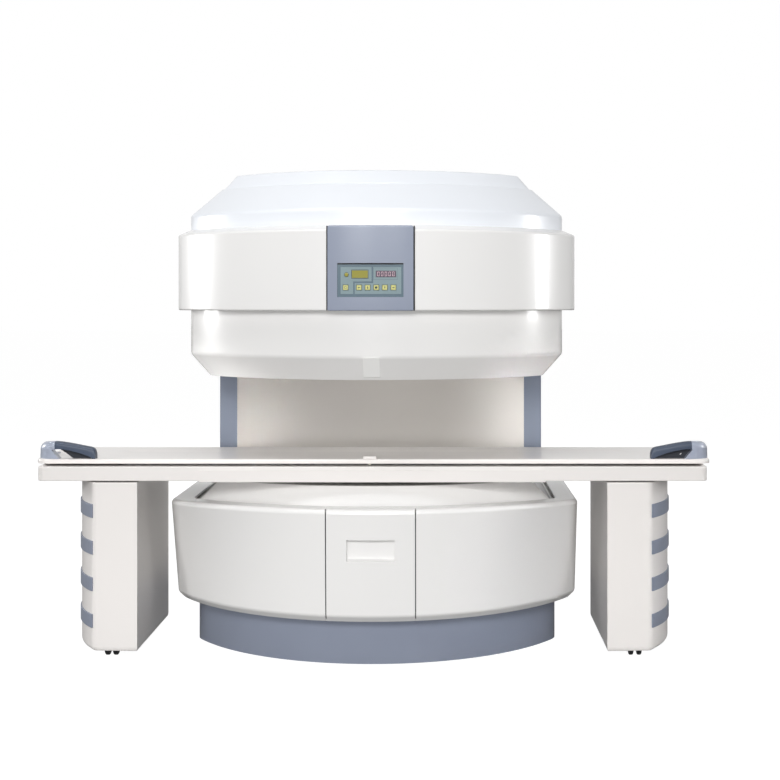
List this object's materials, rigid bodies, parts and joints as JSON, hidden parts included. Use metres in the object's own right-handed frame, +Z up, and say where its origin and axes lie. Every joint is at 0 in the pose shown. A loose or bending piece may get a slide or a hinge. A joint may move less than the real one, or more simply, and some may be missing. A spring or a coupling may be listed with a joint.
{
  "type": "open mri scanner",
  "caption": "Open C-shaped MRI scanner: white curved upper and lower housings on a rear column, a front control panel and a wheeled patient table bridging the lower housing.",
  "frame": {"origin": "middle of the footprint on the floor, on the plane halfway between the two table legs", "axes": "+X to the right of someone facing the control panel, along the patient table; -Y to the front; +Z up"},
  "size_m": [2.486, 1.724, 1.795],
  "materials": {
    "housing_white": "glossy moulded white",
    "roof_white": "glossy moulded white, very slightly blue",
    "column_cream": "satin warm white",
    "trim_bluegrey": "satin blue-grey",
    "yoke_steel": "bare low-carbon steel",
    "magnet_block": "plated magnet blocks",
    "coil_laminate": "resin-bonded coil laminate",
    "foot_steel": "plain steel",
    "panel_bluegrey": "satin blue-grey panel",
    "keypad_teal": "dark teal frame",
    "keypad_print": "pale teal printed plate",
    "key_yellow": "pale yellow key",
    "window_dark": "smoked window",
    "window_amber": "amber window",
    "table_cream": "glossy warm white moulding",
    "handle_bluegrey": "blue-grey moulded handle",
    "strap_rubber": "blue-grey buffer rubber",
    "frame_steel": "grey painted steel",
    "rail_aluminium": "anodised",
    "runner_plastic": "low-friction plastic",
    "caster_black": "black nylon"
  },
  "bodies": {
    "magnet": {"levelling_feet": "foot_steel", "floor_skirt": "trim_bluegrey", "column_trims": "trim_bluegrey", "base_yoke": "yoke_steel", "top_yoke": "yoke_steel", "yoke_post": "yoke_steel", "yoke_bolts": "yoke_steel", "lower_pole": "yoke_steel", "upper_pole": "yoke_steel", "lower_magnet": "magnet_block", "upper_magnet": "magnet_block", "lower_coil": "coil_laminate", "upper_coil": "coil_laminate", "lower_cover": "housing_white", "lower_deck": "housing_white", "upper_skirt": "housing_white", "upper_belly": "housing_white", "upper_band": "housing_white", "centre_marker": "housing_white", "door_frame": "frame_steel", "column_cover": "column_cream", "column_panel": "column_cream", "roof_cover": "roof_white", "roof_cap": "roof_white", "control_panel": "panel_bluegrey", "keypad_frame": "keypad_teal", "keypad_fascia": "keypad_print", "number_window": "window_dark", "amber_window": "window_amber", "status_lamp": "window_amber"},
    "door": {"access_door": "housing_white"},
    "table": {"table_beam": "table_cream", "beam_apron": "table_cream", "left_leg": "table_cream", "right_leg": "table_cream", "left_leg_straps": "strap_rubber", "right_leg_straps": "strap_rubber", "leg_frames": "frame_steel", "guide_rails": "rail_aluminium"},
    "table_top": {"tabletop": "table_cream", "top_runners": "runner_plastic", "index_block": "table_cream", "left_handle": "handle_bluegrey", "right_handle": "handle_bluegrey"},
    "key_start": {"key_start": "key_yellow"},
    "key_out": {"key_out": "key_yellow"},
    "key_down": {"key_down": "key_yellow"},
    "key_stop": {"key_stop": "key_yellow"},
    "key_up": {"key_up": "key_yellow"},
    "key_in": {"key_in": "key_yellow"},
    "caster_front_left": {"caster_fork_front_left": "caster_black"},
    "wheels_front_left": {"caster_wheels_front_left": "caster_black"},
    "caster_front_right": {"caster_fork_front_right": "caster_black"},
    "wheels_front_right": {"caster_wheels_front_right": "caster_black"},
    "caster_rear_left": {"caster_fork_rear_left": "caster_black"},
    "wheels_rear_left": {"caster_wheels_rear_left": "caster_black"},
    "caster_rear_right": {"caster_fork_rear_right": "caster_black"},
    "wheels_rear_right": {"caster_wheels_rear_right": "caster_black"}
  },
  "joints": [
    {"name": "table_roll", "type": "slide", "parent": "magnet", "child": "table", "axis": [0, 1, 0], "range_m": [-1.2, 0.13]},
    {"name": "top_slide", "type": "slide", "parent": "table", "child": "table_top", "axis": [1, 0, 0], "range_m": [-0.4, 0.4]},
    {"name": "door_off", "type": "slide", "parent": "magnet", "child": "door", "axis": [0, -1, 0], "range_m": [0, 0.25]},
    {"name": "key_start_press", "type": "slide", "parent": "magnet", "child": "key_start", "axis": [0, 1, 0], "range_m": [0, 0.0012], "stiffness_N_per_m": 300},
    {"name": "key_out_press", "type": "slide", "parent": "magnet", "child": "key_out", "axis": [0, 1, 0], "range_m": [0, 0.0012], "stiffness_N_per_m": 300},
    {"name": "key_down_press", "type": "slide", "parent": "magnet", "child": "key_down", "axis": [0, 1, 0], "range_m": [0, 0.0012], "stiffness_N_per_m": 300},
    {"name": "key_stop_press", "type": "slide", "parent": "magnet", "child": "key_stop", "axis": [0, 1, 0], "range_m": [0, 0.0012], "stiffness_N_per_m": 300},
    {"name": "key_up_press", "type": "slide", "parent": "magnet", "child": "key_up", "axis": [0, 1, 0], "range_m": [0, 0.0012], "stiffness_N_per_m": 300},
    {"name": "key_in_press", "type": "slide", "parent": "magnet", "child": "key_in", "axis": [0, 1, 0], "range_m": [0, 0.0012], "stiffness_N_per_m": 300},
    {"name": "swivel_front_left", "type": "hinge", "parent": "table", "child": "caster_front_left", "pos_m": [-0.965, -0.64, 0.09], "axis": [0, 0, 1], "continuous": true},
    {"name": "roll_front_left", "type": "hinge", "parent": "caster_front_left", "child": "wheels_front_left", "pos_m": [-0.965, -0.62, 0.0375], "axis": [1, 0, 0], "continuous": true},
    {"name": "swivel_front_right", "type": "hinge", "parent": "table", "child": "caster_front_right", "pos_m": [0.965, -0.64, 0.09], "axis": [0, 0, 1], "continuous": true},
    {"name": "roll_front_right", "type": "hinge", "parent": "caster_front_right", "child": "wheels_front_right", "pos_m": [0.965, -0.62, 0.0375], "axis": [1, 0, 0], "continuous": true},
    {"name": "swivel_rear_left", "type": "hinge", "parent": "table", "child": "caster_rear_left", "pos_m": [-0.965, -0.22, 0.09], "axis": [0, 0, 1], "continuous": true},
    {"name": "roll_rear_left", "type": "hinge", "parent": "caster_rear_left", "child": "wheels_rear_left", "pos_m": [-0.965, -0.2, 0.0375], "axis": [1, 0, 0], "continuous": true},
    {"name": "swivel_rear_right", "type": "hinge", "parent": "table", "child": "caster_rear_right", "pos_m": [0.965, -0.22, 0.09], "axis": [0, 0, 1], "continuous": true},
    {"name": "roll_rear_right", "type": "hinge", "parent": "caster_rear_right", "child": "wheels_rear_right", "pos_m": [0.965, -0.2, 0.0375], "axis": [1, 0, 0], "continuous": true}
  ]
}
